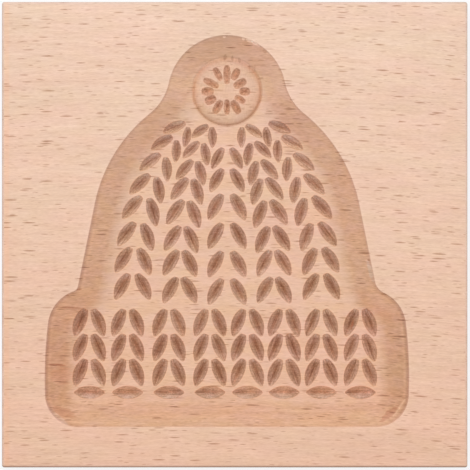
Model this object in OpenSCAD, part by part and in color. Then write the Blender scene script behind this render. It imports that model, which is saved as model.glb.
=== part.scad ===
// Square wooden cookie mould with the pocket of a knitted bobble hat.
// The block lies flat with the pocket facing up, and the hat's bobble points along +Y.
// Lengths are in millimetres. The origin is the middle of the underside.

/* [Block] */
// Width of the block, along the grain
board_w = 120; // [108:1:160]
// Depth of the block, up the hat
board_d = 120; // [112:1:160]
// Thickness of the block
board_h = 20; // [14:1:36]
// Radius of the eased outer edges
edge_r = 0.6; // [0.2:0.1:2]

/* [Hat outline] */
// How far the hat's centre line stands to the right of the block's middle
hat_x = -2; // [-6:0.5:6]
// Margin between the block's lower edge and the brim
hat_margin = 10.4; // [6:0.2:14]
// Width of the brim where it is widest
brim_w = 94; // [90:1:104]
// Height of the brim
brim_h = 35.6; // [32:0.2:40]
// Height at which the brim is widest
brim_wide_v = 12.6; // [8:0.2:18]
// Radius of the bowed sides of the brim
brim_side_r = 120; // [90:5:300]
// Radius of the brim's lower corners
brim_low_r = 8.5; // [8:0.5:14]
// Radius of the brim's upper corners
brim_top_r = 10; // [8:0.5:14]
// Radius of the notch between brim and crown on the left
notch_left_r = 1.5; // [1:0.5:5]
// Radius of the notch between brim and crown on the right
notch_right_r = 4; // [1:0.5:5]
// Width of the crown where it rises from the brim
crown_w = 77.2; // [72:0.4:80]
// Lean of the crown's straight sides
crown_lean = 11.5; // [8:0.5:14]
// Height of the crown's straight sides
crown_side_h = 22; // [16:1:26]
// Radius of the crown's shoulders
shoulder_r = 40; // [36:1:46]
// Radius of the necks that blend the crown into the bobble
neck_r = 14; // [10:0.5:18]
// Radius of the bobble
bobble_r = 15.3; // [14:0.1:17]
// Height of the bobble's centre above the brim's lower edge
bobble_v = 85.8; // [84:0.1:90]

/* [Pocket] */
// Depth of the pocket's flat floor below the face
pocket_depth = 6; // [5:0.2:8]
// Width of the wall from the outline to the flat floor
wall_w = 7.8; // [6.6:0.1:7.9]
// Width of the steep lip at the top of the wall
lip_w = 0.4; // [0.2:0.1:0.8]
// Depth of the steep lip
lip_depth = 0.8; // [0.4:0.1:1.4]
// Radius of the wall's rounded foot
foot_r = 4.2; // [3:0.1:4.8]

/* [Stitches] */
// Length of a full leaf
leaf_len = 7.6; // [6:0.1:8]
// Width of a full leaf
leaf_w = 3.3; // [2:0.1:3.6]
// Steepness of the carved flanks
leaf_slope = 50; // [35:1:60]
// Distance between the two leaves of a stitch in the crown's middle column
middle_pair = 5.8; // [4.6:0.1:6.4]
// Distance between the two leaves of a stitch in the columns beside the middle one
inner_pair = 4.7; // [4.4:0.1:6]
// Distance between the two leaves of a stitch in the crown's outermost columns
outer_pair = 5.3; // [4.4:0.1:6]
// Distance between the two leaves of a stitch in the brim
brim_pair = 4.5; // [4:0.1:5]
// Splay of each leaf from the stitch's axis in the crown
crown_splay = 28; // [15:1:35]
// Splay of each leaf from the stitch's axis in the brim
brim_splay = 22; // [15:1:35]
// Distance between the crown's columns at their foot
column_gap = 12.2; // [11:0.1:13]
// Height above its foot at which an inner column of the crown would reach the centre line
inner_rise = 44.6; // [43:0.2:50]
// Height above its foot at which an outer column of the crown would reach the centre line
outer_rise = 46.5; // [43:0.5:50]
// Height of the lowest row of the brim's stitches
brim_row_v = 13.9; // [13:0.1:16]
// Distance between the rows of the brim's stitches
brim_row_gap = 6.45; // [6:0.05:7]
// Number of rows of stitches in the brim
brim_rows = 3; // [1:1:3]
// Height of the row of level leaves along the brim's foot
level_v = 9; // [8:0.1:10]
// Length of a level leaf
level_len = 8.2; // [7:0.1:9]

/* [Bobble button] */
// Radius of the raised button in the bobble
button_r = 8.9; // [7:0.1:10]
// Height of the button's centre above the brim's lower edge
button_v = 86.7; // [85:0.1:90]
// Height of the button above the floor
button_h = 1.2; // [0.6:0.1:2]
// Width of the button's rounded shoulder
button_edge = 1.8; // [1:0.1:2.4]
// Number of petals round the button
petals = 12; // [6:1:14]
// Distance from the button's centre to the inner tip of a petal
petal_start = 2.2; // [1.8:0.1:2.6]
// Length of a petal
petal_len = 4.4; // [3:0.1:4.6]
// Width of a petal
petal_w = 1.8; // [1:0.1:2]

/* [Hidden] */
$fn = 96;

// The pocket's cutter stands this far above the face
over = 1;
// A leaf's flanks run on this far above the floor, and then go straight up to cut the
// wall's foot where it stands in the way
leaf_over = 0.05;
leaf_top = 1.3;
// Most that a straight stretch between points of the outline may stray from its arc
stray = 0.03;
// Steps round the wall's foot
foot_steps = 6;

// Floor of the pocket, and flat top of the button
floor_z = board_h - pocket_depth;
button_z = floor_z + button_h;

// Heights along the hat are counted from the brim's lower edge
hat_y = hat_margin - board_d / 2;

// Steepness of the wall below its lip. The rounded foot takes it out level into the floor.
slope_run = wall_w - lip_w;
slope_drop = pocket_depth - lip_depth;
slope_way = [slope_run, slope_drop - foot_r];
wall_slope = angle_of(slope_way) + asin(foot_r / norm(slope_way));

// Columns of the brim's stitches, as distances from the hat's centre line
brim_columns = [-35.6, -25.7, -15, -4.4, 5.3, 14.8, 24.4, 34.5];

// Heights of the stitches in the middle, inner and outer columns of the crown
crown_rows = [
    [34.8, 41.9, 49.2, 56.7, 63.6, 69.3],
    [35.2, 42.2, 48.4, 55.1, 61, 65.9, 70.9, 75.5],
    [36.1, 42.8, 49.3, 56, 61.8, 67.4, 72.2, 76]
];
crown_pairs = [middle_pair, inner_pair, outer_pair];
column_rises = [outer_rise, inner_rise, outer_rise];
// Height of the columns' foot, and height above which the leaves get smaller
column_foot_v = 35.6;
full_size_v = 57;
// Loss of size for each millimetre of height above that
size_loss = 0.02;
// Share of its column's lean that a stitch takes
lean_share = 0.9;
// Share of that loss for the leaves along the crown's sides
side_share = 0.6;

// Share of a leaf's width on its fuller side
leaf_bow = 0.58;
// Shares of a pointed leaf's length that a leaf with rounded ends keeps above and
// below its middle
blunt_top = 0.4;
blunt_foot = 0.46;

function polar(r, a) = [r * cos(a), r * sin(a)];
function angle_of(p) = atan2(p.y, p.x);

// Point at the distances ra and rb from a and b, on the right of the way from a to b
function meet(a, ra, b, rb) =
    let (
        d = norm(b - a),
        along = (ra * ra - rb * rb + d * d) / (2 * d),
        across = sqrt(ra * ra - along * along),
        way = (b - a) / d
    )
    a + along * way + across * [way.y, -way.x];

// Centres of the arcs in the right half of the outline
side_c = [brim_w / 2 - brim_side_r, brim_wide_v];
low_c = corner_centre(brim_low_r, brim_low_r);
top_c = corner_centre(brim_top_r, brim_h - brim_top_r);
crown_foot = [crown_w / 2, brim_h];
crown_way = [-sin(crown_lean), cos(crown_lean)];
crown_out = [cos(crown_lean), sin(crown_lean)];
crown_end = crown_foot + crown_side_h / cos(crown_lean) * crown_way;
shoulder_c = crown_end - shoulder_r * crown_out;
bobble_c = [0, bobble_v];
neck_c = meet(shoulder_c, shoulder_r + neck_r, bobble_c, bobble_r + neck_r);

// Centre of a brim corner that runs smoothly into the bowed side
function corner_centre(r, v) =
    [side_c.x + sqrt(pow(brim_side_r - r, 2) - pow(v - brim_wide_v, 2)), v];

// Centre of the notch that touches the crown's side and the brim's upper corner
function notch_centre(r) =
    let (
        start = crown_foot + r * crown_out - top_c,
        back = start * crown_way,
        t = -back + sqrt(back * back - start * start + pow(brim_top_r + r, 2))
    )
    top_c + start + t * crown_way;

low_end = angle_of(low_c - side_c);
top_start = angle_of(top_c - side_c);
neck_start = angle_of(neck_c - bobble_c);
shoulder_end = angle_of(neck_c - shoulder_c);
function top_end(notch_r) = angle_of(notch_centre(notch_r) - top_c);

// Arcs of one half of the outline, from the brim's foot to the bobble.
// Each is its centre, radius, first angle, last angle, and 1 where the pocket
// lies inside the circle or -1 where it lies outside.
function half_arcs(notch_r) = [
    [low_c, brim_low_r, -90, low_end, 1],
    [side_c, brim_side_r, low_end, top_start, 1],
    [top_c, brim_top_r, top_start, top_end(notch_r), 1],
    [notch_centre(notch_r), notch_r, top_end(notch_r) + 180, crown_lean + 180, -1],
    [shoulder_c, shoulder_r, crown_lean, shoulder_end, 1],
    [neck_c, neck_r, shoulder_end + 180, neck_start + 180, -1]
];
bobble_arc = [bobble_c, bobble_r, neck_start, 180 - neck_start, 1];

// Number of straight stretches along an arc
function arc_steps(arc) =
    let (r = arc[1] + (arc[4] == 1 ? 0 : wall_w))
    ceil(abs(arc[3] - arc[2]) / (2 * acos(1 - stray / r)));
// Points along an arc, moved inwards from the outline. The arc's last point is left
// out, because the next arc starts there, unless closed is true.
function arc_points(arc, steps, inset, closed = false) = [
    for (i = [0:closed ? steps : steps - 1])
        arc[0] + polar(arc[1] - arc[4] * inset, arc[2] + i / steps * (arc[3] - arc[2]))
];
// Both halves have the same number of points
half_steps = [for (arc = half_arcs(max(notch_left_r, notch_right_r))) arc_steps(arc)];
notch_index = 3;
// The crown's straight side runs from the end of the notch to the shoulder
function half_points(notch_r, inset) =
    let (arcs = half_arcs(notch_r))
    [
        for (i = [0:len(arcs) - 1])
            each arc_points(arcs[i], half_steps[i], inset, i == notch_index)
    ];
function flipped(points) = [for (i = [len(points) - 1:-1:0]) [-points[i].x, points[i].y]];
function outline_points(inset) = concat(
    half_points(notch_right_r, inset),
    arc_points(bobble_arc, arc_steps(bobble_arc), inset, true),
    flipped(half_points(notch_left_r, inset))
);

// Rings of the pocket's wall: distance inwards from the outline, and height above the face
wall_rings = concat(
    [[0, over], [0, 0], [lip_w, -lip_depth]],
    [
        for (i = [foot_steps:-1:0])
            let (a = wall_slope * i / foot_steps)
            [wall_w - foot_r * sin(a), foot_r * (1 - cos(a)) - pocket_depth]
    ]
);

// Distance of a crown column from the centre line at a height, and its lean there
function column_u(k, v) =
    k * column_gap * sqrt(1 - pow((v - column_foot_v) / column_rises[abs(k)], 2));
function column_lean(k, v) =
    lean_share * atan2(column_u(k, v - 1) - column_u(k, v + 1), 2);
function leaf_size(v) = 1 - size_loss * max(0, v - full_size_v);

// Triangles that fill an outline of n points from its brim to its bobble, each
// between points at the same height on the left and the right
function filling(n) = [
    for (i = [0:floor((n - 3) / 2)])
        each concat(
            [[i, i + 1, n - 1 - i]],
            i + 1 < n - 2 - i ? [[i + 1, n - 2 - i, n - 1 - i]] : []
        )
];

// Everything that is cut away inside the hat's outline: a skin from ring to ring
// down the wall, closed by the flat floor below and a lid above the face
module pocket() {
    outlines = [for (ring = wall_rings) outline_points(ring[0])];
    n = len(outlines[0]);
    last = len(outlines) - 1;
    points = [
        for (j = [0:last], p = outlines[j]) [p.x, p.y, board_h + wall_rings[j][1]]
    ];
    lid = [for (t = filling(n)) [t[2], t[1], t[0]]];
    floor = [for (t = filling(n)) [for (i = t) last * n + i]];
    skin = [
        for (j = [0:last - 1], i = [0:n - 1])
            let (a = j * n + i, b = j * n + (i + 1) % n)
            each [[a, b, a + n], [b, b + n, a + n]]
    ];
    polyhedron(points, concat(lid, floor, skin));
}

// Inverted cone whose circle at z = 0 has the radius r, with upright sides above it
module sink(r) {
    deep = r * tan(leaf_slope);
    rim = r + leaf_over / tan(leaf_slope);
    rotate_extrude() polygon([[0, -deep], [rim, leaf_over], [rim, leaf_top], [0, leaf_top]]);
}

// Leaf with pointed tips, cut with sloping flanks that meet in a valley along y.
// The share bow of its width lies on the right of the line between its tips.
module pointed_leaf(length, width, bow = 0.5) {
    half = length / 2;
    right = bow * width;
    left = width - right;
    right_r = (half * half + right * right) / (2 * right);
    left_r = (half * half + left * left) / (2 * left);
    intersection() {
        translate([right - right_r, 0]) sink(right_r);
        translate([left_r - left, 0]) sink(left_r);
    }
}

// The same leaf with rounded ends, the blunter one up
module leaf(length, width, bow = 0.5) {
    full = length / (blunt_top + blunt_foot);
    shift = (blunt_top - blunt_foot) / 2 * full;
    translate([0, -shift])
        intersection() {
            pointed_leaf(full, width, bow);
            translate([0, shift]) sink(length / 2);
        }
}

// Two leaves side by side, like one knitted stitch. Each has its fuller side outwards.
module stitch(pair, splay, left_size = 1, right_size = 1) {
    translate([pair / 2, 0])
        rotate(splay) leaf(leaf_len * right_size, leaf_w * right_size, leaf_bow);
    translate([-pair / 2, 0])
        rotate(-splay) leaf(leaf_len * left_size, leaf_w * left_size, 1 - leaf_bow);
}

module crown_stitches() {
    for (k = [-2:2], v = crown_rows[abs(k)]) {
        size = leaf_size(v);
        // The leaves along the crown's sides lose less size
        side = 1 - side_share * (1 - size);
        pair = crown_pairs[abs(k)] * size;
        translate([column_u(k, v), v, floor_z])
            rotate(column_lean(k, v))
                stitch(pair, crown_splay, k == -2 ? side : size, k == 2 ? side : size);
    }
}

module brim_stitches() {
    for (u = brim_columns) {
        for (row = [0:brim_rows - 1])
            translate([u, brim_row_v + row * brim_row_gap, floor_z]) stitch(brim_pair, brim_splay);
        translate([u, level_v, floor_z]) rotate(90) pointed_leaf(level_len, leaf_w);
    }
}

// Raised button with a rounded shoulder
module button() {
    shoulder = (button_edge * button_edge + button_h * button_h) / (2 * button_h);
    translate([0, button_v, floor_z])
        rotate_extrude()
            intersection() {
                translate([0, -over]) square([button_r, button_h + over]);
                union() {
                    translate([0, -over]) square([button_r - button_edge, button_h + over]);
                    translate([button_r - button_edge, button_h - shoulder]) circle(shoulder);
                }
            }
}

module button_petals() {
    for (i = [0:petals - 1])
        translate([0, button_v, button_z])
            rotate(i * 360 / petals)
                translate([0, petal_start + petal_len / 2]) leaf(petal_len, petal_w);
}

// Rectangle with rounded corners
module soft_rectangle(w, h) {
    translate([edge_r - w / 2, -h / 2]) square([w - 2 * edge_r, h]);
    translate([-w / 2, edge_r - h / 2]) square([w, h - 2 * edge_r]);
    for (x = [-1, 1], y = [-1, 1])
        translate([x * (w / 2 - edge_r), y * (h / 2 - edge_r)]) circle(edge_r);
}

// Block with eased edges
module block() {
    translate([0, 0, board_h / 2])
        intersection() {
            linear_extrude(board_h, center = true) soft_rectangle(board_w, board_d);
            rotate([90, 0, 0]) linear_extrude(board_d, center = true) soft_rectangle(board_w, board_h);
            rotate([90, 0, 90]) linear_extrude(board_w, center = true) soft_rectangle(board_d, board_h);
        }
}

// The whole mould is carved from one piece of beech
module mould_board() {
    color("burlywood")
        difference() {
            block();
            translate([hat_x, hat_y, 0]) {
                difference() {
                    pocket();
                    button();
                }
                crown_stitches();
                brim_stitches();
                button_petals();
            }
        }
}

mould_board();
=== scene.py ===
# Square beech cookie mould with a bobble hat carved in it: its looks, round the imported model
import math
import random

import bpy
import numpy as np
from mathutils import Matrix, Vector
from mathutils.geometry import delaunay_2d_cdt


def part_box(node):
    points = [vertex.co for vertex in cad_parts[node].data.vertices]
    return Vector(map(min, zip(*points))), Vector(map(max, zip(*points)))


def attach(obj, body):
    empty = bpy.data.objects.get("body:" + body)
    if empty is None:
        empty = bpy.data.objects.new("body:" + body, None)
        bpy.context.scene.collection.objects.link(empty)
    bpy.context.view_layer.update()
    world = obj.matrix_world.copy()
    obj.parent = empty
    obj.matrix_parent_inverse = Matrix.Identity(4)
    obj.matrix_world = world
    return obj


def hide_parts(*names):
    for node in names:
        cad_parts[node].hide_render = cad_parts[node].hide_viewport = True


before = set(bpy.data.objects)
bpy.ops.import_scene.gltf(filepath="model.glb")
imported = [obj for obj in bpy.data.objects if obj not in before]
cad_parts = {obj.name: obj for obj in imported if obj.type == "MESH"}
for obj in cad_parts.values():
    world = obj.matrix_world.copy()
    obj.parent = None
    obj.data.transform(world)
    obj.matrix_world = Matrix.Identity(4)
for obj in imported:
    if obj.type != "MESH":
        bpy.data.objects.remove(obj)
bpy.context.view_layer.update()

# Lengths are in millimetres until a mesh is made. The hat's own coordinates count to the
# right from its centre line and up from the brim's lower edge.
MM = 0.001

# The block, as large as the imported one
block_low, block_high = (np.array(corner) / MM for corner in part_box("mould_board"))
BLOCK_W, BLOCK_D, BLOCK_H = block_high - block_low
EDGE_R = 0.6
ARRIS_R = 0.03

# The hat's outline
HAT_X = -2.0
HAT_MARGIN = 10.4
HAT_PLACE = np.array([HAT_X, HAT_MARGIN - BLOCK_D / 2])
BRIM_W = 94.0
BRIM_H = 35.6
BRIM_WIDE_V = 12.6
BRIM_SIDE_R = 120.0
BRIM_LOW_R = 8.5
BRIM_TOP_R = 10.0
NOTCH_LEFT_R = 1.5
NOTCH_RIGHT_R = 4.0
CROWN_W = 77.2
CROWN_LEAN = math.radians(11.5)
CROWN_SIDE_H = 22.0
SHOULDER_R = 40.0
NECK_R = 14.0
BOBBLE_R = 15.3
BOBBLE_V = 85.8

# The pocket's wall: a narrow steep lip, then an even slope that a rounded foot runs out
# into the floor
POCKET_DEPTH = 6.0
WALL_W = 7.8
LIP_W = 0.4
LIP_DEPTH = 0.8
FOOT_R = 4.2
FLOOR_Z = BLOCK_H - POCKET_DEPTH
SLOPE_RUN = WALL_W - LIP_W
SLOPE_DROP = POCKET_DEPTH - LIP_DEPTH
WALL_SLOPE = math.atan2(SLOPE_DROP - FOOT_R, SLOPE_RUN) + math.asin(
    FOOT_R / math.hypot(SLOPE_RUN, SLOPE_DROP - FOOT_R)
)
FOOT_START = WALL_W - FOOT_R * math.sin(WALL_SLOPE)
FOOT_H = FOOT_R * (1 - math.cos(WALL_SLOPE))

# The carved leaves. Beyond its rim a leaf's cut goes on as an upright side, where the wall
# stands in its way. Bow is the outer flank's share of the width. Blunt ends reach these
# shares up and down of the length that the leaf would have with pointed ends.
LEAF_LEN = 7.6
LEAF_W = 3.3
LEAF_SLOPE = math.tan(math.radians(50))
SLOPE_PLAY = 0.08
UPRIGHT = 12.0
LEAF_BOW = 0.58
BLUNT_TOP = 0.4
BLUNT_FOOT = 0.46
CROWN_SPLAY = math.radians(28)
BRIM_SPLAY = math.radians(22)
COLUMN_GAP = 12.2
COLUMN_FOOT_V = 35.6
BRIM_PAIR = 4.5
BRIM_COLUMNS = (-35.6, -25.7, -15.0, -4.4, 5.3, 14.8, 24.4, 34.5)
BRIM_ROW_V = 13.9
BRIM_ROW_GAP = 6.45
BRIM_ROWS = 3
LEVEL_V = 8.8
LEVEL_LEN = 8.3
LEVEL_W = 3.5

# Above this height the crown's leaves get smaller, by this share for each millimetre. Those
# along the crown's sides have only a share of that loss, and a stitch has only a share of
# its column's lean.
FULL_SIZE_V = 57.0
SIZE_LOSS = 0.015
SIDE_SHARE = 0.6
LEAN_SHARE = 0.9

# Middle, inner and outer columns of the crown: the pair's distance, how far above the brim
# the column would reach the centre line, and the heights of its stitches
CROWN_COLUMNS = (
    (5.8, 46.5, (34.8, 41.9, 49.2, 56.7, 63.6, 69.3)),
    (4.7, 44.6, (35.2, 42.2, 48.4, 55.1, 61.0, 65.9, 70.9, 75.5)),
    (5.3, 46.5, (36.1, 42.8, 49.3, 56.0, 61.8, 67.4, 72.2, 76.0)),
)

# The raised button in the bobble
BUTTON_R = 8.9
BUTTON_V = 86.7
BUTTON_H = 1.2
BUTTON_EDGE = 1.8

# Its petals, anticlockwise from the top: direction in degrees, distance of the middle from
# the button's, length and width
PETALS = (
    (0, 4.3, 5.0, 2.05),
    (28, 5.0, 3.9, 1.9),
    (63, 4.6, 4.5, 2.0),
    (91, 5.0, 3.3, 2.4),
    (118, 4.8, 3.2, 2.5),
    (150, 4.7, 3.9, 2.2),
    (180, 4.1, 4.0, 1.8),
    (209, 4.7, 3.9, 2.2),
    (238, 4.0, 3.1, 1.9),
    (269, 4.6, 2.9, 2.3),
    (300, 3.9, 3.7, 2.3),
    (333, 4.9, 3.4, 2.1),
)
PETAL_BLUNT = 0.34

# Spacing of the mesh's points, in millimetres
OUTLINE_STEP = 0.45
LEAF_STEP = 0.3
EDGE_STEP = 1.5
RIM_W = 0.4
MARGIN_RINGS = (-0.25, -0.8)
BELOW_LIP = 0.15
LEAF_CLEARANCE = 0.08
INNER_DEPTH = 0.12
VALLEY_FOOT_GAP = 0.6
VALLEY_TOP_GAP = 0.5
BUTTON_RINGS = (BUTTON_R, 8.75, 8.5, 8.1, 7.7, 7.3, BUTTON_R - BUTTON_EDGE)

# Points this close together become one, and those this close to the outline or to the
# button's foot count as on it
MERGED = 1e-5
ON_OUTLINE = 1e-4
ON_FOOT = 1e-6

# All of a leaf lies within this share of its length from its middle
LEAF_REACH = 0.6

# Numbers of the mesh's points and rings
SLOPE_RINGS = 5
FOOT_RINGS = 8
LEAF_RAYS = 60
BUTTON_RAYS = 128
EDGE_RINGS = 4
CORNER_POINTS = 5
RIM_HALVINGS = 24

# Sides of the block are marked with an inset far outside that of any point of its face
SIDE_INSET = -200.0

# Angle over which an edge is crisp
CRISP = math.radians(32)

# Each leaf takes its scratches from another part of the noise, within this reach
SCRATCH_REACH = 50

# Draws the leaves' small differences
SEED = 11


def polar(radius, angle):
    return radius * np.array([math.cos(angle), math.sin(angle)])


def angle_of(vector):
    return math.atan2(vector[1], vector[0])


def turned(points, angle):
    """Points turned anticlockwise about the origin."""
    c, s = math.cos(angle), math.sin(angle)
    return np.stack([points[:, 0] * c - points[:, 1] * s, points[:, 0] * s + points[:, 1] * c], 1)


def meet(a, a_reach, b, b_reach):
    """The point at those distances from a and b, on the right of the way from a to b."""
    apart = np.linalg.norm(b - a)
    along = (a_reach**2 - b_reach**2 + apart**2) / (2 * apart)
    across = math.sqrt(a_reach**2 - along**2)
    way = (b - a) / apart
    return a + along * way + across * np.array([way[1], -way[0]])


def half_outline(notch_r):
    """Arcs of the outline's right half, from the brim's foot to the bobble: each is its
    centre, radius, first and last angle, and 1 where the pocket lies inside the circle
    or -1 where it lies outside."""
    side = np.array([BRIM_W / 2 - BRIM_SIDE_R, BRIM_WIDE_V])

    def corner(radius, v):
        across = math.sqrt((BRIM_SIDE_R - radius) ** 2 - (v - BRIM_WIDE_V) ** 2)
        return np.array([side[0] + across, v])

    low = corner(BRIM_LOW_R, BRIM_LOW_R)
    top = corner(BRIM_TOP_R, BRIM_H - BRIM_TOP_R)
    way = np.array([-math.sin(CROWN_LEAN), math.cos(CROWN_LEAN)])
    out = polar(1.0, CROWN_LEAN)
    foot = np.array([CROWN_W / 2, BRIM_H])
    shoulder = foot + CROWN_SIDE_H / math.cos(CROWN_LEAN) * way - SHOULDER_R * out
    bobble = np.array([0, BOBBLE_V])
    neck = meet(shoulder, SHOULDER_R + NECK_R, bobble, BOBBLE_R + NECK_R)
    start = foot + notch_r * out - top
    back = start @ way
    rise = -back + math.sqrt(back**2 - start @ start + (BRIM_TOP_R + notch_r) ** 2)
    notch = top + start + rise * way
    low_end = angle_of(low - side)
    top_start = angle_of(top - side)
    top_end = angle_of(notch - top)
    shoulder_end = angle_of(neck - shoulder)
    neck_start = angle_of(neck - bobble)
    return [
        (low, BRIM_LOW_R, -math.pi / 2, low_end, 1),
        (side, BRIM_SIDE_R, low_end, top_start, 1),
        (top, BRIM_TOP_R, top_start, top_end, 1),
        (notch, notch_r, top_end + math.pi, CROWN_LEAN + math.pi, -1),
        (shoulder, SHOULDER_R, CROWN_LEAN, shoulder_end, 1),
        (neck, NECK_R, shoulder_end + math.pi, neck_start + math.pi, -1),
        (bobble, BOBBLE_R, neck_start, math.pi / 2, 1),
    ]


# The right half, and the left one mirrored. The crown's straight side runs between the arcs
# of the notch and of the shoulder.
HALVES = ((1, half_outline(NOTCH_RIGHT_R)), (-1, half_outline(NOTCH_LEFT_R)))
NOTCH_ARC = 3
SHOULDER_ARC = 4


def outline(inset):
    """Points of the hat's outline, moved inwards, anticlockwise from the brim's foot."""
    halves = []
    for mirror, arcs in HALVES:
        points = []
        for centre, radius, first, last, side in arcs:
            steps = max(2, math.ceil(abs(last - first) * (radius + WALL_W / 2) / OUTLINE_STEP))
            for angle in np.linspace(first, last, steps + 1):
                point = centre + polar(radius - side * inset, angle)
                if points and side == 1:
                    gap = np.linalg.norm(point - points[-1])
                    spare = int(gap / (2 * OUTLINE_STEP))
                    points += list(np.linspace(points[-1], point, spare + 1, endpoint=False)[1:])
                if not points or np.linalg.norm(point - points[-1]) > OUTLINE_STEP / 4:
                    points.append(point)
        halves.append(np.array(points) * [mirror, 1])
    right, left = halves
    foot = np.linspace(left[0], right[0], math.ceil(BRIM_W / OUTLINE_STEP))
    return np.vstack([right, left[-2::-1], foot[1:-1]])


def inset_of(points):
    """Distance of each point from the hat's outline."""
    nearest = np.abs(points[:, 1])
    out = polar(1.0, CROWN_LEAN)
    way = np.array([-out[1], out[0]])
    shoulder, shoulder_r = HALVES[0][1][SHOULDER_ARC][:2]
    for mirror, arcs in HALVES:
        flipped = points * [mirror, 1]
        for centre, radius, first, last, _ in arcs:
            away = flipped - centre
            low, high = min(first, last), max(first, last)
            on_arc = (np.arctan2(away[:, 1], away[:, 0]) - low) % (2 * math.pi) <= high - low
            gap = np.abs(np.hypot(away[:, 0], away[:, 1]) - radius)
            nearest = np.where(on_arc, np.minimum(nearest, gap), nearest)
        notch, notch_r = arcs[NOTCH_ARC][:2]
        start = notch - notch_r * out
        length = (shoulder + shoulder_r * out - start) @ way
        along = (flipped - start) @ way
        gap = np.abs((flipped - start) @ out)
        nearest = np.where((along >= 0) & (along <= length), np.minimum(nearest, gap), nearest)
    return nearest


def within(points, loop):
    """Which points lie inside a closed loop."""
    x, y = points.T
    hit = np.zeros(len(points), bool)
    for (x1, y1), (x2, y2) in zip(loop, np.roll(loop, -1, axis=0)):
        if y1 != y2:
            hit ^= ((y1 > y) != (y2 > y)) & (x < (x2 - x1) * (y - y1) / (y2 - y1) + x1)
    return hit


def wall_height(inset):
    """Height of the pocket's wall above its floor, at a distance from the outline."""
    lip = POCKET_DEPTH - inset / LIP_W * LIP_DEPTH
    slope = FOOT_H + (FOOT_START - inset) * math.tan(WALL_SLOPE)
    run = np.clip(WALL_W - inset, 0, WALL_W - FOOT_START)
    foot = FOOT_R - np.sqrt(FOOT_R**2 - run**2)
    return np.where(inset < LIP_W, lip, np.where(inset < FOOT_START, slope, foot))


def button_height(points):
    """Height of the button above the floor."""
    shoulder = (BUTTON_EDGE**2 + BUTTON_H**2) / (2 * BUTTON_H)
    reach = np.hypot(points[:, 0], points[:, 1] - BUTTON_V)
    over = np.clip(reach - (BUTTON_R - BUTTON_EDGE), 0, BUTTON_EDGE)
    return BUTTON_H - shoulder + np.sqrt(shoulder**2 - over**2)


def uncut_height(points):
    """Height above the floor of the pocket before its leaves are carved."""
    return np.maximum(wall_height(inset_of(points)), button_height(points))


class Leaf:
    """A leaf-shaped cut with sloping flanks: the hollow that the circles of its flanks
    and its blunt ends share. Its own coordinates count across it and up along it."""

    def __init__(self, place, turn, length, width, bow, top_z, top=0.5, foot=0.5, outer=1):
        self.place, self.turn, self.top_z = np.array(place), turn, top_z
        self.outer = outer
        self.length, self.width = length, width
        full = length / (top + foot)
        shift = (top - foot) / 2 * full
        right, left = bow * width, (1 - bow) * width
        right_r = (full**2 / 4 + right**2) / (2 * right)
        left_r = (full**2 / 4 + left**2) / (2 * left)
        self.circles = [(right - right_r, -shift, right_r), (left_r - left, -shift, left_r)]
        half_apart = (self.circles[1][0] - self.circles[0][0]) / 2
        bias = (right_r - left_r) / 2
        along = np.arange(-length / 2 + VALLEY_FOOT_GAP, length / 2 - VALLEY_TOP_GAP, LEAF_STEP)
        bend = bias * np.sqrt(1 + (along + shift) ** 2 / (half_apart**2 - bias**2))
        middle = (self.circles[0][0] + self.circles[1][0]) / 2
        self.valley = np.stack([middle + bend, along], 1)
        if top + foot < 1:
            self.circles.append((0.0, 0.0, length / 2))
        self.seed = random.random() * SCRATCH_REACH
        self.slope = LEAF_SLOPE * random.uniform(1 - SLOPE_PLAY, 1 + SLOPE_PLAY)

    def local(self, points):
        return turned(points - self.place, -self.turn)

    def placed(self, points):
        return turned(points, self.turn) + self.place

    def depth(self, local):
        """Depth of the cut below the surface it is carved in, negative outside it."""
        reach = np.min([r - np.hypot(*(local - (x, y)).T) for x, y, r in self.circles], axis=0)
        return np.where(reach > 0, self.slope, UPRIGHT) * reach

    def cut(self, local):
        """How far the cut takes the surface down, negative where it doesn't reach it."""
        return uncut_height(self.placed(local)) - self.top_z + self.depth(local)

    def loop(self):
        """Points along the edge of the cut."""
        angles = np.linspace(0, 2 * math.pi, LEAF_RAYS, endpoint=False)
        rays = np.stack([self.width * np.cos(angles), self.length * np.sin(angles)], 1)
        low, high = np.zeros(LEAF_RAYS), np.ones(LEAF_RAYS)
        for _ in range(RIM_HALVINGS):
            middle = (low + high) / 2
            cut_there = self.cut(rays * middle[:, None]) > 0
            low, high = np.where(cut_there, middle, low), np.where(cut_there, high, middle)
        return rays * low[:, None]

    def inner_points(self):
        """A grid of points on the flanks."""
        xs = np.arange(-self.width, self.width, LEAF_STEP)
        ys = np.arange(-self.length * LEAF_REACH, self.length * LEAF_REACH, LEAF_STEP)
        grid = np.stack(np.meshgrid(xs, ys), -1).reshape(-1, 2)
        return grid[self.cut(grid) > INNER_DEPTH]


def stitch(leaves, place, lean, pair, splay, left_size=1.0, right_size=1.0):
    """Two leaves side by side, like one knitted stitch."""
    for side, size in ((1, right_size), (-1, left_size)):
        at = turned(np.array([[side * pair / 2, 0.0]]), lean)[0] + place
        bow = LEAF_BOW if side == 1 else 1 - LEAF_BOW
        length, width = LEAF_LEN * size, LEAF_W * size
        turn = lean + side * splay
        leaves.append(Leaf(at, turn, length, width, bow, 0.0, BLUNT_TOP, BLUNT_FOOT, side))


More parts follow.
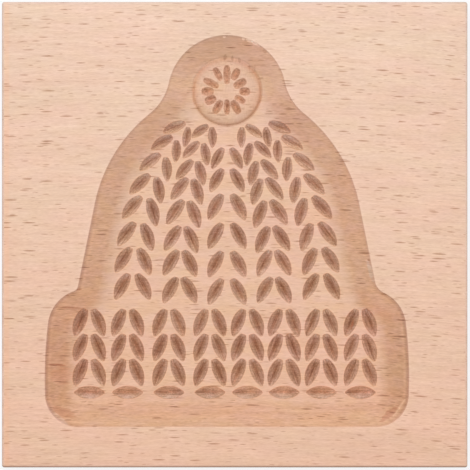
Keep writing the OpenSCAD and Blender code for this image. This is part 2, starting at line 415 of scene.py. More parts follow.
def crown_column(leaves, column):
    """One of the crown's five columns, from -2 on the left to 2 on the right."""
    pair, rise, heights = CROWN_COLUMNS[abs(column)]

    def across(v):
        return column * COLUMN_GAP * math.sqrt(1 - ((v - COLUMN_FOOT_V) / rise) ** 2)

    for v in heights:
        size = 1 - SIZE_LOSS * max(0, v - FULL_SIZE_V)
        side = 1 - SIDE_SHARE * (1 - size)
        lean = LEAN_SHARE * math.atan2(across(v - 1) - across(v + 1), 2)
        left_size = side if column == -2 else size
        right_size = side if column == 2 else size
        place = np.array([across(v), v])
        stitch(leaves, place, lean, pair * size, CROWN_SPLAY, left_size, right_size)


def brim_column(leaves, u):
    """One of the brim's columns, with the level leaf under it."""
    for row in range(BRIM_ROWS):
        place = np.array([u, BRIM_ROW_V + row * BRIM_ROW_GAP])
        stitch(leaves, place, 0.0, BRIM_PAIR, BRIM_SPLAY)
    place = np.array([u, LEVEL_V])
    leaves.append(Leaf(place, math.pi / 2, LEVEL_LEN, LEVEL_W, 0.5, 0.0, outer=-1))


def petal(leaves, degrees, reach, length, width):
    """A small leaf carved in the button, pointing away from its middle."""
    turn = math.radians(degrees)
    place = turned(np.array([[0.0, reach]]), turn)[0] + [0, BUTTON_V]
    leaves.append(Leaf(place, turn, length, width, 0.5, BUTTON_H, PETAL_BLUNT, PETAL_BLUNT))


def carved_leaves():
    """Every leaf of the hat, and the petals of its button."""
    leaves = []
    for column in range(-2, 3):
        crown_column(leaves, column)
    for u in BRIM_COLUMNS:
        brim_column(leaves, u)
    for degrees, reach, length, width in PETALS:
        petal(leaves, degrees, reach, length, width)
    return leaves


class Sketch:
    """Points and lines seen from above, which are then filled with triangles."""

    def __init__(self):
        self.points, self.lines, self.count = [], [], 0

    def add(self, points, closed=None):
        """Adds points, and a line along them where closed says if it is a loop."""
        first, n = self.count, len(points)
        self.points.append(np.asarray(points, float))
        self.count += n
        if closed is not None:
            last = n if closed else n - 1
            self.lines += [(first + i, first + (i + 1) % n) for i in range(last)]
        return range(first, first + n)

    def fill(self):
        """The filled points, the triangles, and where each point that was added went."""
        flat = [Vector(p) for p in np.vstack(self.points)]
        made = delaunay_2d_cdt(flat, self.lines, [], 0, MERGED, True)
        went = np.zeros(self.count, int)
        for new, olds in enumerate(made[3]):
            for old in olds:
                went[old] = new
        return np.array([tuple(p) for p in made[0]]), np.array(made[2]), went


def block_ring(inset, corner_r):
    """Points round the block, inset from its sides, with rounded corners."""
    points = []
    half = np.array([BLOCK_W, BLOCK_D]) / 2 - inset
    corners = ((1, -1), (1, 1), (-1, 1), (-1, -1))
    for k, corner in enumerate(corners):
        centre = np.array(corner) * (half - corner_r)
        first = (k - 1) * math.pi / 2
        for angle in np.linspace(first, first + math.pi / 2, CORNER_POINTS):
            points.append(centre + polar(corner_r, angle))
        next_centre = np.array(corners[(k + 1) % 4]) * (half - corner_r)
        end = next_centre + polar(corner_r, first + math.pi / 2)
        steps = round(BLOCK_W / EDGE_STEP)
        points += list(np.linspace(points[-1], end, steps, endpoint=False)[1:])
    return np.array(points)


def draw_wall(sketch, leaves):
    """Rings of points down the pocket's wall, which leave out what the leaves cut away."""
    slope_insets = np.linspace(LIP_W, FOOT_START, SLOPE_RINGS + 1)[1:]
    foot_insets = np.linspace(FOOT_START, WALL_W, FOOT_RINGS + 1)[1:]
    for inset in (LIP_W / 2, LIP_W + BELOW_LIP, *slope_insets, *foot_insets):
        ring = outline(inset)
        clear = np.ones(len(ring), bool)
        for leaf in leaves:
            near = np.hypot(*(ring - leaf.place).T) < leaf.length
            clear[near] &= leaf.cut(leaf.local(ring[near])) < -LEAF_CLEARANCE
        sketch.add(ring[clear] + HAT_PLACE)


def draw_button(sketch):
    """Rings of points down the button's rounded shoulder, where it stands above the wall."""
    angles = np.linspace(0, 2 * math.pi, BUTTON_RAYS, endpoint=False)
    for reach in BUTTON_RINGS:
        ring = np.stack([np.cos(angles), np.sin(angles)], 1) * reach + [0, BUTTON_V]
        shown = button_height(ring) >= wall_height(inset_of(ring)) - ON_FOOT
        sketch.add(ring[shown] + HAT_PLACE)


def draw_leaf(sketch, leaf):
    """A leaf's rim, a ring round it, its valley and its flanks. Gives the rim's points."""
    loop = leaf.placed(leaf.loop())
    rim = sketch.add(loop + HAT_PLACE, closed=True)
    out = (loop - leaf.place) / np.linalg.norm(loop - leaf.place, axis=1)[:, None]
    sketch.add(loop + out * RIM_W + HAT_PLACE)
    sketch.add(leaf.placed(leaf.valley) + HAT_PLACE, closed=False)
    sketch.add(leaf.placed(leaf.inner_points()) + HAT_PLACE)
    return rim


def draw_face(leaves):
    """The block's face with its pocket, seen from above. Gives the sketch, the points of
    the face's outer edge, and the points of all the leaves' rims."""
    sketch = Sketch()
    edge = sketch.add(block_ring(EDGE_R, ARRIS_R), closed=True)
    for inset in MARGIN_RINGS:
        sketch.add(outline(inset) + HAT_PLACE)
    for inset in (0.0, LIP_W):
        sketch.add(outline(inset) + HAT_PLACE, closed=True)
    draw_wall(sketch, leaves)
    draw_button(sketch)
    rims = []
    for leaf in leaves:
        rims += draw_leaf(sketch, leaf)
    return sketch, edge, rims


def side_levels():
    """Rings round the block's sides, from its face down: inset, corner radius and height."""
    eased = []
    for step in range(1, EDGE_RINGS + 1):
        angle = step * math.pi / 2 / EDGE_RINGS
        out = EDGE_R * math.sin(angle)
        eased.append((EDGE_R - out, out, EDGE_R * (1 - math.cos(angle))))
    top = [(inset, corner_r, BLOCK_H - z) for inset, corner_r, z in eased]
    middle = [(0.0, EDGE_R, BLOCK_H * share) for share in (0.75, 0.5, 0.25)]
    return top + middle + eased[::-1] + [(EDGE_R, ARRIS_R, 0.0)]


def carve_board():
    """The whole mould as one closed mesh, with what its material reads on each point: the
    depth of a leaf's cut, the place in the leaf, the distance from the hat's outline,
    which is negative outside it, and 1 along the leaves' rims."""
    leaves = carved_leaves()
    sketch, edge, rims = draw_face(leaves)
    flat, triangles, went = sketch.fill()

    hat = flat - HAT_PLACE
    inset = inset_of(hat)
    inside = within(hat, outline(0.0)) | (inset < ON_OUTLINE)
    height = np.where(inside, uncut_height(hat), POCKET_DEPTH)
    carved = np.zeros(len(hat))
    strokes = np.zeros((len(hat), 3))
    rim = np.zeros(len(hat))
    rim[went[rims]] = 1.0
    for leaf in leaves:
        near = np.flatnonzero(np.hypot(*(hat - leaf.place).T) < leaf.length * LEAF_REACH)
        local = leaf.local(hat[near])
        depth = leaf.depth(local)
        lower = height[near] - leaf.top_z + depth > 0
        hit = near[lower]
        height[hit] = leaf.top_z - depth[lower]
        carved[hit] = depth[lower]
        strokes[hit, :2] = local[lower] * [leaf.outer, 1]
        strokes[hit, 2] = leaf.seed

    points = [np.column_stack([flat, FLOOR_Z + height])]
    faces = [tuple(triangle) for triangle in triangles]
    ring = [int(went[i]) for i in edge]
    count = len(flat)
    for ring_inset, corner_r, z in side_levels():
        below = block_ring(ring_inset, corner_r)
        points.append(np.column_stack([below, np.full(len(below), z)]))
        lower_ring = list(range(count, count + len(below)))
        count += len(below)
        for i in range(len(ring)):
            j = (i + 1) % len(ring)
            faces.append((ring[i], lower_ring[i], lower_ring[j], ring[j]))
        ring = lower_ring
    faces.append(tuple(reversed(ring)))

    sides = count - len(flat)
    layers = {
        "carved": np.concatenate([carved, np.zeros(sides)]),
        "strokes": np.vstack([strokes, np.zeros((sides, 3))]),
        "inset": np.concatenate([np.where(inside, inset, -inset), np.full(sides, SIDE_INSET)]),
        "rim": np.concatenate([rim, np.zeros(sides)]),
    }
    return np.vstack(points), faces, layers


def make_board():
    points, faces, layers = carve_board()
    mesh = bpy.data.meshes.new("mould")
    mesh.from_pydata((points * MM).tolist(), [], faces)
    mesh.validate()
    for name, values in layers.items():
        kind, key = ("FLOAT", "value") if values.ndim == 1 else ("FLOAT_VECTOR", "vector")
        layer = mesh.attributes.new(name, kind, "POINT")
        layer.data.foreach_set(key, values.astype(np.float32).ravel())
    mesh.polygons.foreach_set("use_smooth", [True] * len(mesh.polygons))
    mesh.set_sharp_from_angle(angle=CRISP)
    board = bpy.data.objects.new("carved_board", mesh)
    bpy.context.scene.collection.objects.link(board)
    board.data.materials.append(Beech().finish())
    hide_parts("mould_board")
    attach(board, "root")


class Wire:
    """A shader socket that takes part in Python sums, which add its Math nodes."""

    def __init__(self, shader, socket):
        self.shader, self.socket = shader, socket

    def math(self, operation, *others):
        return self.shader.node("Math", {"operation": operation}, self, *others)

    def __add__(self, other):
        return self.math("ADD", other)

    def __radd__(self, other):
        return self.math("ADD", other)

    def __sub__(self, other):
        return self.math("SUBTRACT", other)

    def __rsub__(self, other):
        return self.shader.node("Math", {"operation": "SUBTRACT"}, other, self)

    def __mul__(self, other):
        return self.math("MULTIPLY", other)

    def __truediv__(self, other):
        return self.math("DIVIDE", other)

    def __abs__(self):
        return self.math("ABSOLUTE")

    def at_most(self, other):
        return self.math("MINIMUM", other)

    def at_least(self, other):
        return self.math("MAXIMUM", other)

    def sibling(self, name):
        """Another output of the same node."""
        return Wire(self.shader, self.socket.node.outputs[name])

    def step(self, start, end):
        """Runs smoothly from 0 at start to 1 at end."""
        if start > end:
            return 1 - self.step(end, start)
        wires = {"Value": self, "From Min": start, "From Max": end}
        return self.shader.node("MapRange", {"interpolation_type": "SMOOTHSTEP"}, **wires)


class Shader:
    """A material's node tree."""

    def __init__(self, name):
        self.material = bpy.data.materials.new(name)
        self.material.use_nodes = True
        self.tree = self.material.node_tree
        self.tree.nodes.clear()

    def node(self, kind, settings=None, *values, output=None, **sockets):
        """Adds a node: its settings first, then its sockets' values or links. Gives the
        output of that name, or else the first one."""
        made = self.tree.nodes.new("ShaderNode" + kind)
        for key, value in (settings or {}).items():
            setattr(made, key, value)
        for key, value in list(enumerate(values)) + list(sockets.items()):
            if isinstance(key, str):
                key = next(i for i, s in enumerate(made.inputs) if s.name == key and s.enabled)
            if isinstance(value, Wire):
                self.tree.links.new(value.socket, made.inputs[key])
            else:
                made.inputs[key].default_value = value
        shown = [s for s in made.outputs if s.enabled]
        if shown:
            return Wire(self, made.outputs[output] if output else shown[0])

    def close(self, shell):
        """Joins the shader to the material's output, and gives the material."""
        self.node("OutputMaterial", Surface=shell)
        return self.material

    def vector(self, operation, *values, **sockets):
        return self.node("VectorMath", {"operation": operation}, *values, **sockets)

    def split(self, wire, kind="SeparateXYZ"):
        """The three parts of a vector or a colour."""
        first = self.node(kind, {}, wire)
        return [Wire(self, output) for output in first.socket.node.outputs]

    def join(self, x, y, z):
        return self.node("CombineXYZ", {}, x, y, z)

    def noise(self, at, detail=2.0, rough=0.5):
        """Smooth noise round 0, from about -0.5 to 0.5, that changes over a length of 1."""
        return self.node("TexNoise", Vector=at, Scale=1.0, Detail=detail, Roughness=rough) - 0.5

    def mix(self, share, a, b, blend="MIX"):
        """Two colours, blended by a share."""
        settings = {"data_type": "RGBA", "blend_type": blend}
        a, b = (c if isinstance(c, Wire) else (*c, 1) for c in (a, b))
        return self.node("Mix", settings, Factor=share, A=a, B=b)

    def times(self, wood, tint):
        return self.mix(1.0, wood, tint, "MULTIPLY")

    def tinted(self, wood, share, tint):
        """The wood, multiplied by a tint where the share is 1."""
        return self.mix(share, wood, self.times(wood, tint))


# Bare beech at the brim's end and at the bobble's end of the block
BRIM_END_WOOD = (0.866, 0.546, 0.388)
BOBBLE_END_WOOD = (0.872, 0.615, 0.468)

# All the colours below are tints, which multiply the wood's. The grain's darkest and palest
# streaks, and the broad bands and the small clouds that run between two tints each
DARK_STREAK = (0.61, 0.5, 0.43)
PALE_STREAK = (1.39, 1.5, 1.57)
PALE_BAND = (0.985, 1.00, 0.975)
PINK_BAND = (1.01, 0.975, 0.98)
WHITE_CLOUD = (1.0, 1.01, 1.06)
YELLOW_CLOUD = (0.99, 0.985, 0.93)

# Ray flecks on the face, and where the wall cuts through them
FACE_FLECK = (0.59, 0.44, 0.36)
WALL_FLECK = (0.48, 0.355, 0.285)

# Painted light that makes the block's eased edges greyer, a warm strip beside the left
# one, and a painted shadow along the front one's arris
EASED_EDGE_LIGHT = (0.95, 0.98, 1.04)
WARM_STRIP = (1.03, 0.97, 0.92)
FRONT_ARRIS_SHADOW = (0.62, 0.55, 0.52)

# The pocket, then its wall along the sides of the brim, the crown and the bobble, browner
# where it is cut across the grain, then painted shade on the wall across the brim's foot,
# the shoulders and the bobble's top, which differs with the way the wall faces
POCKET_WOOD = (0.97, 0.91, 0.865)
BRIM_LEFT_WALL = (0.82, 0.745, 0.655)
BRIM_RIGHT_WALL = (0.815, 0.765, 0.69)
CROWN_WALL = (0.868, 0.825, 0.77)
BOBBLE_WALL = (0.965, 0.97, 0.945)
BRIM_FOOT_WALL_SHADE = (0.855, 0.83, 0.745)
SHOULDER_WALL_SHADE = (1.02, 0.93, 0.85)
BOBBLE_TOP_WALL_SHADE = (0.915, 0.83, 0.785)
# Painted shade at the wall's rounded foot, and on the wall below the bobble's lip
WALL_FOOT_SHADE = (0.88, 0.88, 0.885)
BELOW_BOBBLE_LIP_SHADE = (0.985, 0.96, 0.945)

# The greyish line of painted shade along the lip, the pale line of painted highlight below
# it, and the paler margin above it
LIP_LINE_SHADE = (0.86, 0.84, 0.87)
BELOW_LIP_HIGHLIGHT = (1.05, 1.05, 1.06)
PALER_MARGIN = (1.02, 1.02, 1.03)

# The button, its rounded shoulder, painted shade on its slope that faces the bobble's top,
# and a ring of painted shade round it
BUTTON_WOOD = (0.95, 0.92, 0.89)
BUTTON_SHOULDER = (0.955, 0.945, 0.945)
BUTTON_TOP_SIDE_SHADE = (0.91, 0.88, 0.89)
BUTTON_RING_SHADE = (0.92, 0.89, 0.85)
BUTTON_RING_RIGHT_SHADE = (0.92, 0.87, 0.84)

# The flanks of the leaves, of the level leaves and of the petals, and parts of the flanks.
# The level leaves, cut along the grain, have painted shade on their upper flank and painted
# light on their lower one; the deep inner part and the valley have painted shade.
LEAF_FLANK = (0.79, 0.775, 0.81)
LEVEL_UPPER_GRAIN_AND_SHADE = (0.92, 0.955, 0.95)
LEVEL_LOWER_GRAIN_AND_LIGHT = (0.87, 0.97, 1.08)
PETAL_FLANK = (1.12, 1.05, 0.96)
OUTER_FLANK = (0.91, 0.87, 0.83)
DEEP_FLANK_SHADE = (0.81, 0.75, 0.70)
VALLEY_SHADE = (0.91, 0.84, 0.78)
LEAF_RIM = (1.07, 1.05, 1.06)

# Marks in the pocket: place from the block's middle, length, width, turn in degrees, and
# tint. All of them fray along the grain.
TORN_CHIPS_OF_BOBBLE = (
    ((-2.7, 51.0), 0.8, 0.6, 0, (1.34, 1.52, 1.68)),
    ((2.2, 50.5), 1.0, 0.7, -15, (1.34, 1.52, 1.68)),
    ((3.7, 50.0), 1.9, 0.8, -20, (1.30, 1.46, 1.60)),
    ((5.2, 49.4), 1.9, 0.8, -30, (1.30, 1.46, 1.60)),
    ((6.2, 48.8), 0.9, 0.6, -35, (1.15, 1.22, 1.30)),
    ((2.6, 49.2), 1.8, 0.6, 0, (0.88, 0.86, 0.84)),
    ((7.7, 47.3), 1.3, 0.9, -20, (0.84, 0.80, 0.78)),
    ((8.7, 46.7), 1.0, 0.7, -40, (1.08, 1.12, 1.16)),
)
GOUGES_ROUND_BUTTON = (
    ((-2.5, 45.8), 1.9, 0.9, 80, (0.79, 0.74, 0.71)),
    ((-0.6, 45.5), 1.7, 0.7, 90, (0.80, 0.76, 0.73)),
    ((1.2, 45.1), 1.7, 0.7, 100, (0.80, 0.76, 0.73)),
    ((3.8, 43.2), 1.6, 0.6, 90, (0.88, 0.84, 0.83)),
    ((5.2, 43.0), 2.2, 0.5, 90, (0.90, 0.87, 0.86)),
    ((4.6, 41.9), 1.2, 0.4, 0, (0.84, 0.78, 0.74)),
    ((-3.3, 30.9), 2.8, 0.4, 0, (0.78, 0.70, 0.66)),
)
TORN_LEFT_OF_BRIM = (
    ((-45.7, -33.6), 4.9, 0.7, -3, (0.72, 0.56, 0.50)),
    ((-44.6, -36.4), 6.5, 4.8, 0, (0.99, 0.91, 0.88)),
    ((-44.3, -45.7), 6.5, 2.6, -20, (0.88, 0.79, 0.76)),
    ((-45.6, -47.2), 9.0, 1.5, -42, (1.00, 1.09, 1.20)),
    ((-43.2, -18.8), 7.5, 0.5, -2, (0.76, 0.64, 0.58)),
)
BURNT_RIGHT_OF_BRIM = (
    ((40.0, -46.2), 6.6, 1.7, 40, (0.84, 0.72, 0.70)),
    ((42.6, -44.4), 5.5, 0.6, 55, (1.12, 1.20, 1.24)),
)
NICKS_AT_NOTCHES = (
    ((-40.6, -14.1), 2.6, 0.5, 0, (0.84, 0.70, 0.64)),
    ((-44.0, -15.5), 2.6, 0.5, -5, (0.84, 0.72, 0.66)),
    ((39.1, -15.3), 2.8, 0.5, 0, (0.76, 0.66, 0.58)),
    ((34.6, -6.5), 0.8, 0.6, 0, (0.70, 0.60, 0.54)),
    ((35.0, -9.5), 5.6, 1.2, -75, (0.99, 1.12, 1.26)),
)
BURNT_SPOTS_IN_LEAVES = (
    ((30.4, -23.2), 2.6, 0.7, 74, (0.90, 0.66, 0.56)),
    ((19.2, 13.6), 1.0, 0.5, -20, (0.80, 0.72, 0.68)),
)
MARKS = (
    *TORN_CHIPS_OF_BOBBLE,
    *GOUGES_ROUND_BUTTON,
    *TORN_LEFT_OF_BRIM,
    *BURNT_RIGHT_OF_BRIM,
    *NICKS_AT_NOTCHES,
    *BURNT_SPOTS_IN_LEAVES,
)

# Roughness of the bare wood, and strength of its relief
WOOD_ROUGHNESS = 0.62
RELIEF_STRENGTH = 0.6


class Beech(Shader):
    """Bare planed beech: grain along X, with rays as short dark dashes, and darker where it
    is carved across the grain, with painted light and shade on the block's edges and in the
    pocket. Places in it are in millimetres."""

    def __init__(self):
        super().__init__("beech")
        place = self.node("TexCoord", output="Object")
        self.x, self.y, self.z = self.split(self.vector("SCALE", place, Scale=1 / MM))
        self.nx, self.ny, _ = self.split(self.node("NewGeometry", output="Normal"))
        self.carved = self.layer("carved", "Fac")
        self.inset = self.layer("inset", "Fac")
        self.rim = self.layer("rim", "Fac")
        self.strokes = self.layer("strokes", "Vector")
        self.find_parts()
        self.find_grain()

    def layer(self, name, output):
        """What the mesh holds on each of its points under that name."""
        return self.node("Attribute", {"attribute_name": name}, output=output)

    def find_parts(self):
        """Masks of the block's sides, the pocket, its button, steep wall and leaves, and
        how far up the block, from the hat's centre line and from the button's middle."""
        self.sides = self.inset.step(SIDE_INSET / 2 + 10, SIDE_INSET / 2 - 10)
        self.inside = self.inset.step(0.0, 0.5)
        self.leaf = self.carved.step(0.0, 0.27)
        self.height = (self.y + BLOCK_D / 2) / BLOCK_D
        self.from_x = self.x - HAT_X
        self.from_y = self.y - float(HAT_PLACE[1] + BUTTON_V)
        self.reach = (self.from_x * self.from_x + self.from_y * self.from_y).math("SQRT")
        self.button = self.reach.step(BUTTON_R + 0.5, BUTTON_R) * self.inside
        tilt = (abs(self.nx) * 1.35 + abs(self.ny) * 0.9).at_most(1.0)
        self.steep = tilt * self.inside * (1 - self.button)

    def find_grain(self):
        """The grain dips to the right of the block's middle, and wanders a little. On the
        block's sides the noise runs in thin layers."""
        past = (self.x + 10).at_least(0)
        self.wander = self.noise(self.join(self.x * 0.02, self.y * 0.03, self.z * 0.03))
        self.grain_y = self.y + past * past * 0.0005 + self.wander * 1.2
        self.layers = self.z * (1 + self.sides * 10)
        self.streaks = self.noise(self.along(13, 0.95, 5), 3.0, 0.6)
        self.fibres = self.noise(self.along(4.5, 0.34, 2.4))

    def along(self, long, wide, deep, shift=0.0):
        """The grain's coordinates, stretched to cells of that many millimetres."""
        return self.join(self.x / long + shift, self.grain_y / wide, self.layers / deep)

    def streaked(self, wood, amount):
        """Wood made paler by an amount, or darker and warmer where it is below 0."""
        dark, pale = self.times(wood, DARK_STREAK), self.times(wood, PALE_STREAK)
        return self.mix(amount + 0.5, dark, pale)

    def between(self, wood, share, tint_a, tint_b):
        """Wood multiplied by one tint at a share of 0 and by the other at 1."""
        share = share.at_most(1.0).at_least(0.0)
        return self.mix(share, self.times(wood, tint_a), self.times(wood, tint_b))

    def planed_wood(self):
        """The bare wood, paler towards the bobble's end, with coarser streaks where it is
        steep and growth rings on the block's sides."""
        wood = self.mix(self.height, BRIM_END_WOOD, BOBBLE_END_WOOD)
        blush = self.noise(self.along(20, 6, 9, 4.0), 1.5)
        wood = self.between(wood, blush * 3.2 + 0.5, PALE_BAND, PINK_BAND)

        bands = self.noise(self.along(60, 5, 9), 3.0)
        pores = self.noise(self.along(1.3, 0.24, 2.0, 5.0), 1.0)
        rough_cut = 1 + self.steep * (1 - self.height * 0.7)
        fine = self.streaks * 0.21 + self.fibres * 0.33 + pores * 0.31
        pith_y, pith_z = self.y - 5, self.z + 60
        from_pith = (pith_y * pith_y + pith_z * pith_z).math("SQRT") + self.wander * 2
        rings = (from_pith * 2.6).math("SINE") * self.sides * 0.05
        wood = self.streaked(wood, bands * 0.14 + fine * rough_cut + rings)

        clouds = self.noise(self.join(self.x * 0.17, self.y * 0.33, self.z * 0.3))
        cloudy = self.between(wood, clouds * 4.0 + 0.5, WHITE_CLOUD, YELLOW_CLOUD)
        return self.mix(0.35 + self.inside * 0.65, wood, cloudy)

    def rays(self, long, wide, deep, keep, shift):
        """Short dashes, one in each cell of that size, of which a share is kept."""
        cells = self.along(long, wide, deep, shift)
        distance = self.node("TexVoronoi", {"feature": "F1"}, Vector=cells, Scale=1.0)
        size, shade, _ = self.split(distance.sibling("Color"), "SeparateColor")
        radius = (size * size * 0.85 + 0.5) * 0.30
        body = (1 - distance / radius).at_least(0)
        return body.math("POWER", 0.38) * shade.step(1 - keep, 1.35 - keep)

    def find_flecks(self):
        """The beech's ray flecks, long and short, which the leaves and the sides show less."""
        flecks = self.rays(4.8, 0.60, 60, 0.66, 0.0) + self.rays(2.8, 0.45, 40, 0.45, 7.3) * 0.7
        return flecks.at_most(1.0) * (1 - self.leaf * 0.8) * (1 - self.sides * 0.6)

    def ease_edges(self, wood):
        """Edges of the block made greyer by painted light, with a warm strip on the left and a
        painted shadow along the arris in front.
        """
        edge = abs(self.x).at_least(abs(self.y))
        # Painted light on the eased edges
        wood = self.tinted(wood, edge.step(59.1, 59.7), EASED_EDGE_LIGHT)
        strip = self.x.step(-57.8, -58.4) * self.x.step(-59.6, -59.2)
        wood = self.tinted(wood, strip, WARM_STRIP)
        # Painted shadow along the arris in front
        front = self.y.step(-59.45, -59.85) * self.z.step(18.6, 19.2)
        return self.tinted(wood, front, FRONT_ARRIS_SHADOW)

    def cut_pocket(self, wood):
        """Inside the pocket the wood is a little darker, and where its wall is cut across
        the grain it is browner, though less so at the bobble. Where the wall faces the
        block's ends it has painted shade, which differs with the way it faces."""
        wood = self.tinted(wood, self.inside, POCKET_WOOD)
        sideways = self.mix(self.from_x.step(-5.0, 5.0), BRIM_LEFT_WALL, BRIM_RIGHT_WALL)
        sideways = self.mix(self.height.step(0.34, 0.46), sideways, CROWN_WALL)
        sideways = self.mix(self.height.step(0.62, 0.80), sideways, BOBBLE_WALL)
        # Painted shade on the wall that faces the block's ends: the brim's foot, the shoulders
        # and the bobble's top
        endways_shade = self.mix(self.height.step(0.35, 0.75), SHOULDER_WALL_SHADE, BOBBLE_TOP_WALL_SHADE)
        endways_shade = self.mix(self.ny.step(0.0, 0.3), endways_shade, BRIM_FOOT_WALL_SHADE)
        wall = self.mix((abs(self.ny) * 1.5).at_most(1.0), sideways, endways_shade)
        return self.tinted(wood, self.steep * (1 - self.leaf * 0.5), wall)

    def shade_wall_foot(self, wood):
        """A soft painted shade at the wall's rounded foot, stronger on the left and in the crown,
        and painted shade on the wall below the bobble's lip.
        """
        flat = self.inside * (1 - self.button) * (1 - self.steep)
        foot = self.inset.step(WALL_W + 3.2, WALL_W - 1.8) * flat
        right_share = self.height.step(0.34, 0.46) * 0.3 + 0.45
        foot = foot * (right_share + self.from_x.step(10.0, -10.0) * (1 - right_share))
        foot = foot * (self.height.step(0.13, 0.22) * 0.6 + 0.4)
        wood = self.tinted(wood, foot * (1 - self.leaf * 0.5), WALL_FOOT_SHADE)
        # Painted shade on the wall below the bobble's lip
        below_lip_shade = self.inset.step(0.3, 0.9) * self.inset.step(4.5, 1.0) * self.inside
        return self.tinted(wood, below_lip_shade * self.height.step(0.88, 0.93), BELOW_BOBBLE_LIP_SHADE)

    def line_lip(self, wood):
        """A thin greyish line of painted shade along the lip, on the brim's and the crown's
        sides, with a pale line of painted highlight below it, and the margin paler along the
        pocket's rim."""
        sideways = (abs(self.nx) * 1.3).at_most(1.0) * self.height.step(0.75, 0.45)
        right_crown = self.from_x.step(-5.0, 5.0) * self.height.step(0.36, 0.42)
        sideways = sideways * (1 - right_crown * 0.75)
        # A line of painted shade along the lip, and a painted highlight below it
        line = self.inset.step(0.0, 0.15) * self.inset.step(1.0, 0.6)
        wood = self.tinted(wood, line * sideways, LIP_LINE_SHADE)
        below = self.inset.step(0.8, 1.1) * self.inset.step(1.7, 1.3)
        wood = self.tinted(wood, below * sideways, BELOW_LIP_HIGHLIGHT)
        margin = self.inset.step(-1.0, -0.2) * self.inset.step(0.05, -0.05)
        return self.tinted(wood, margin, PALER_MARGIN)

    def round_button(self, wood):
        """The button is rougher than the face, has painted shade on the slope that faces the
        bobble's top, and a thin ring of painted shade round it that is fainter towards the
        bobble's top and stronger on the right."""
        top_side = (self.from_y / self.reach).step(0.2, 0.9)
        right_side = (self.from_x / self.reach).step(0.2, 0.9)
        nicks = self.noise(self.join(self.x * 2.4, self.y * 0.9, self.z * 0.2), 2.0, 0.6)
        wood = self.mix(self.button, wood, self.streaked(wood, nicks * 0.35))
        wood = self.tinted(wood, self.button, BUTTON_WOOD)
        wood = self.tinted(wood, self.reach.step(4.5, 7.5) * self.button, BUTTON_SHOULDER)
        # Painted shade on the button's slope that faces the bobble's top
        slope = self.reach.step(7.0, 7.8) * self.reach.step(9.3, 8.9)
        wood = self.tinted(wood, slope * top_side * self.inside, BUTTON_TOP_SIDE_SHADE)
        # A ring of painted shade round the button, fainter towards the bobble's top and stronger
        # on the right
        ring = self.reach.step(8.1, 8.6) * self.reach.step(9.4, 9.0)
        ring = ring * (1 - top_side * 0.7) * self.inside
        wood = self.tinted(wood, ring, BUTTON_RING_SHADE)
        return self.tinted(wood, ring * right_side, BUTTON_RING_RIGHT_SHADE)

    def carve_leaves(self, wood):
        """The leaves are greyer and streaked along their length, with painted shade on the
        inner side and in the valley, and the level leaves have painted shade on their upper
        flank and painted light on their lower one. Gives the wood and the scratches."""
        across, lengthwise, _ = self.split(self.strokes)
        scratch = self.noise(self.vector("MULTIPLY", self.strokes, (3.0, 0.26, 1.0)), 2.0, 0.6)
        specks = self.noise(self.vector("MULTIPLY", self.strokes, (3.4, 2.0, 1.0)), 2.0, 0.7)
        blots = self.noise(self.vector("MULTIPLY", self.strokes, (1.5, 1.0, 1.0)), 1.0)

        crosswise = (abs(self.nx) * 1.6 + self.button).at_most(1.0)
        # Level leaves are paler, cut along the grain, with painted shade on the upper flank and
        # painted light on the lower one
        level = self.mix(across.step(-0.2, 0.5), LEVEL_UPPER_GRAIN_AND_SHADE, LEVEL_LOWER_GRAIN_AND_LIGHT)
        flank = self.times(wood, self.mix(crosswise, level, LEAF_FLANK))
        flank = self.tinted(flank, self.button, PETAL_FLANK)
        outer = across.step(-0.15, 0.4) * crosswise * (1 - self.button)
        flank = self.tinted(flank, outer, OUTER_FLANK)

        # Painted shade on the inner side of each leaf's deeper, upper part, and a share of it
        # over the petals
        side_share = crosswise * 0.75 + 0.25
        deep = across.step(1.0, -0.15) * self.carved.step(0.4, 1.2)
        deep = deep * lengthwise.step(-3.2, -0.8) * side_share
        deep = deep * (1 - self.button) + self.button * 0.45
        flank = self.tinted(flank, deep, DEEP_FLANK_SHADE)
        # Painted shade in the valley
        waist = lengthwise.step(-2.8, -1.0) * lengthwise.step(3.2, 1.0)
        valley = self.carved.step(1.1, 1.95) * waist * side_share * (1 - self.button)
        flank = self.tinted(flank, valley, VALLEY_SHADE)

        rough = scratch * (1.4 - self.button * 0.7) + specks * 1.25 + blots * self.button * 1.1
        wood = self.mix(self.leaf, wood, self.streaked(flank, rough))
        return self.tinted(wood, self.rim * 0.9, LEAF_RIM), scratch

    def mark_pocket(self, wood):
        """Chips, gouges and burns: each is an oval that the grain frays."""
        torn = self.noise(self.along(2.2, 0.45, 3, 9.0))
        in_pocket = self.inset.step(0.0, 0.1)
        for (at_x, at_y), length, width, degrees, tint in MARKS:
            c, s = math.cos(math.radians(degrees)), math.sin(math.radians(degrees))
            x, y = self.x - at_x, self.y - at_y
            u = (x * c + y * s) / (length / 2)
            v = (y * c - x * s) / (width / 2)
            mark = (u * u + v * v + torn * 2.2).step(1.1, 0.5)
            wood = self.tinted(wood, mark * in_pocket, tint)
        return wood

    def finish(self):
        """The whole finish of the mould."""
        wood = self.planed_wood()
        wood = self.ease_edges(wood)
        wood = self.cut_pocket(wood)
        wood = self.shade_wall_foot(wood)
        flecks = self.find_flecks()
        wood = self.tinted(wood, flecks, self.mix(self.steep, FACE_FLECK, WALL_FLECK))
        wood = self.line_lip(wood)
        wood = self.round_button(wood)
        wood, scratch = self.carve_leaves(wood)
        wood = self.mark_pocket(wood)
        relief = (self.fibres + self.streaks - flecks) * 0.03 + scratch * self.leaf * 0.15
        bump = self.node("Bump", Strength=RELIEF_STRENGTH, Distance=MM, Height=relief)
        sockets = {"Base Color": wood, "Roughness": WOOD_ROUGHNESS, "Normal": bump}
        return self.close(self.node("BsdfPrincipled", **sockets))


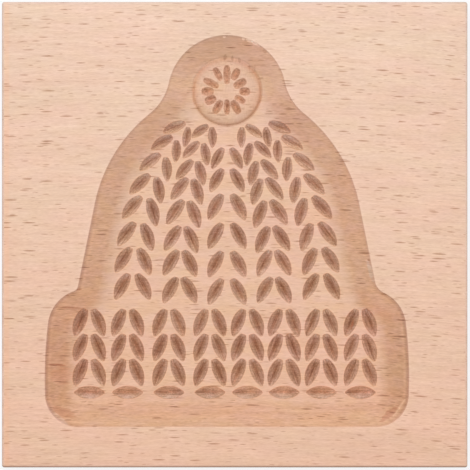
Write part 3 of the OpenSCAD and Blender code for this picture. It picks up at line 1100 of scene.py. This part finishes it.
# The floor's colour, the share of plain white in what the camera sees of it, its size in
# metres, and its gap under the block in millimetres
FLOOR_COLOUR = (0.95, 0.95, 0.95, 1)
FLOOR_WHITE = 0.8
FLOOR_SIZE = 6
FLOOR_GAP = 0.1

# Soft light from all round, and a round lamp above the block's far side, in metres
SKY_STRENGTH = 0.6
LAMP_PLACE = (-0.02, 0.38, 0.9)
LAMP_SIZE = 0.5
LAMP_POWER = 3.8

# The camera looks straight down from far off. The photo's pixels, their size on the face,
# and how far its middle lies from the block's, in pixels
PHOTO_PIXELS = 470
PIXEL = 0.2578
PHOTO_MIDDLE = (0.3, -0.3)
CAMERA_RISE = 2.0
SENSOR_W = 36


def floor_material():
    """A pale floor, near white to the camera, that still shows the block's shadow. It is
    clear from below, so that the block's back can be seen and is lit."""
    shader = Shader("pale_floor")
    seen = shader.node("LightPath", output="Is Camera Ray")
    from_below = shader.node("NewGeometry", output="Backfacing")
    shell = shader.node("BsdfPrincipled", Roughness=0.9, **{"Base Color": FLOOR_COLOUR})
    white = shader.node("Emission", Color=(1, 1, 1, 1), Strength=1.0)
    pale = shader.node("MixShader", {}, FLOOR_WHITE, shell, white)
    clear = shader.node("BsdfTransparent")
    return shader.close(shader.node("MixShader", {}, seen * (1 - from_below), clear, pale))


def make_floor():
    bpy.ops.mesh.primitive_plane_add(size=FLOOR_SIZE, location=(0, 0, -FLOOR_GAP * MM))
    floor = bpy.context.object
    floor.name = "floor"
    floor.data.materials.append(floor_material())


def make_lights():
    world = bpy.data.worlds.new("studio")
    bpy.context.scene.world = world
    world.use_nodes = True
    sky = world.node_tree.nodes["Background"]
    sky.inputs["Color"].default_value = (1, 1, 1, 1)
    sky.inputs["Strength"].default_value = SKY_STRENGTH
    lamp = bpy.data.lights.new("soft_box", "AREA")
    lamp.shape = "DISK"
    lamp.size = LAMP_SIZE
    lamp.energy = LAMP_POWER
    box = bpy.data.objects.new("soft_box", lamp)
    box.location = LAMP_PLACE
    box.rotation_euler = (-Vector(LAMP_PLACE)).to_track_quat("-Z", "Y").to_euler()
    bpy.context.scene.collection.objects.link(box)


def make_camera():
    lens = bpy.data.cameras.new("camera")
    lens.sensor_width = SENSOR_W
    lens.lens = SENSOR_W * CAMERA_RISE / (PHOTO_PIXELS * PIXEL * MM)
    lens.clip_start, lens.clip_end = 0.1, 10
    camera = bpy.data.objects.new("camera", lens)
    middle_x, middle_y = (offset * PIXEL * MM for offset in PHOTO_MIDDLE)
    camera.location = (middle_x, middle_y, BLOCK_H * MM + CAMERA_RISE)
    bpy.context.scene.collection.objects.link(camera)
    bpy.context.scene.camera = camera


random.seed(SEED)
make_board()
make_floor()
make_lights()
make_camera()
bpy.context.scene.view_settings.view_transform = "Standard"
